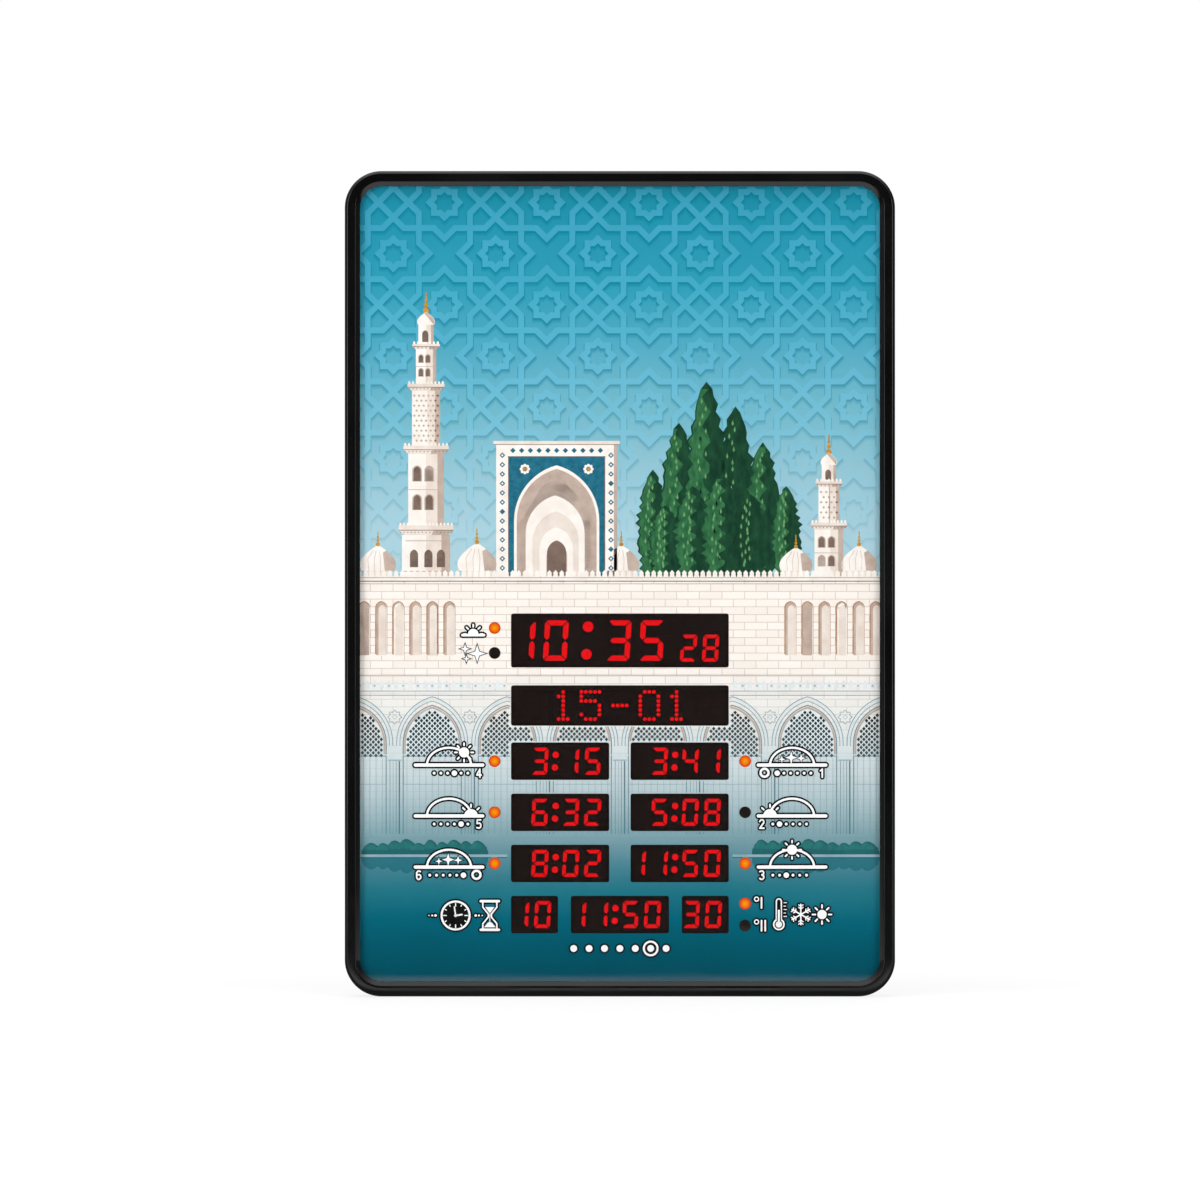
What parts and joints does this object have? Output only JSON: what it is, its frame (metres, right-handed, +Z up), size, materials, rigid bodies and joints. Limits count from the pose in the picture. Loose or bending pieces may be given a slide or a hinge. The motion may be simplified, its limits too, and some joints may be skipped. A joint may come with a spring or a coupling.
{
  "type": "azan clock",
  "caption": "Portrait wall-hung prayer-time clock with rounded black bezel, printed face, dark windows with red seven-segment and dot-matrix digits, and round orange lamps.",
  "frame": {"origin": "centre of the rear face, on the plane of the wall", "axes": "+Z up along the height, -Y out of the front face, +Y into the wall, +X to the right as seen from the front"},
  "size_m": [0.4, 0.036, 0.6],
  "materials": {
    "gloss_black_plastic": "satin gloss",
    "clear_acrylic": "polished, clear",
    "printed_film": "printed, satin",
    "smoked_film": "smoked, smooth",
    "textured_black_plastic": "fine moulded texture",
    "module_black": "matt epoxy face",
    "lamp_orange": "clear epoxy lens, lit",
    "board_green": "solder mask",
    "plated_steel": "plated",
    "blackened_steel": "black oxide",
    "key_rubber": "soft matt",
    "cone_paper": "pressed paper",
    "ferrite": "sintered",
    "cell_wrap": "shrink wrap",
    "plug_black": "moulded",
    "bead_glaze": "dipped",
    "lead_sheath": "soft sheath"
  },
  "bodies": {
    "case": {"am_lamp": "lamp_orange", "asr_display": "module_black", "asr_lamp": "lamp_orange", "battery_lead": "lead_sheath", "case_screw_lower_left": "blackened_steel", "case_screw_lower_right": "blackened_steel", "case_screw_middle_left": "blackened_steel", "case_screw_middle_right": "blackened_steel", "case_screw_upper_left": "blackened_steel", "case_screw_upper_right": "blackened_steel", "celsius_lamp": "lamp_orange", "date_matrix_1": "module_black", "date_matrix_2": "module_black", "date_matrix_3": "module_black", "date_matrix_4": "module_black", "date_matrix_5": "module_black", "date_matrix_6": "module_black", "dhuhr_display": "module_black", "dhuhr_lamp": "lamp_orange", "display_board": "board_green", "display_filter": "smoked_film", "face_panel": "clear_acrylic", "fahrenheit_lamp": "lamp_orange", "fajr_display": "module_black", "fajr_lamp": "lamp_orange", "front_bezel": "gloss_black_plastic", "iqama_display": "module_black", "isha_display": "module_black", "isha_lamp": "lamp_orange", "jumuah_display": "module_black", "key_board": "board_green", "key_lead": "lead_sheath", "left_contact": "plated_steel", "lower_cell": "cell_wrap", "maghrib_display": "module_black", "maghrib_lamp": "lamp_orange", "pm_lamp": "lamp_orange", "power_inlet": "plug_black", "power_lead": "lead_sheath", "print_sheet": "printed_film", "rear_cover": "textured_black_plastic", "right_contact": "plated_steel", "seconds_display": "module_black", "speaker_basket": "blackened_steel", "speaker_lead": "lead_sheath", "speaker_magnet": "ferrite", "sunrise_display": "module_black", "sunrise_lamp": "lamp_orange", "temperature_display": "module_black", "thermistor": "bead_glaze", "time_display": "module_black", "upper_cell": "cell_wrap"},
    "set_key": {"set_key": "key_rubber"},
    "up_key": {"up_key": "key_rubber"},
    "down_key": {"down_key": "key_rubber"},
    "volume_key": {"volume_key": "key_rubber"},
    "stop_key": {"stop_key": "key_rubber"},
    "speaker_cone": {"speaker_cone": "cone_paper"},
    "battery_door": {"battery_door": "textured_black_plastic"}
  },
  "joints": [
    {"name": "set_key_press", "type": "slide", "parent": "case", "child": "set_key", "axis": [-1, 0, 0], "range_m": [0, 0.0008], "stiffness_N_per_m": 1000},
    {"name": "up_key_press", "type": "slide", "parent": "case", "child": "up_key", "axis": [-1, 0, 0], "range_m": [0, 0.0008], "stiffness_N_per_m": 1000},
    {"name": "down_key_press", "type": "slide", "parent": "case", "child": "down_key", "axis": [-1, 0, 0], "range_m": [0, 0.0008], "stiffness_N_per_m": 1000},
    {"name": "volume_key_press", "type": "slide", "parent": "case", "child": "volume_key", "axis": [-1, 0, 0], "range_m": [0, 0.0008], "stiffness_N_per_m": 1000},
    {"name": "stop_key_press", "type": "slide", "parent": "case", "child": "stop_key", "axis": [-1, 0, 0], "range_m": [0, 0.0008], "stiffness_N_per_m": 1000},
    {"name": "speaker_cone_travel", "type": "slide", "parent": "case", "child": "speaker_cone", "axis": [0, 1, 0], "range_m": [-0.0005, 0.0005], "stiffness_N_per_m": 2000},
    {"name": "battery_door_hinge", "type": "hinge", "parent": "case", "child": "battery_door", "pos_m": [0.14345, -0.0009, -0.16595], "axis": [-1, 0, 0], "range_deg": [0, 75]}
  ]
}
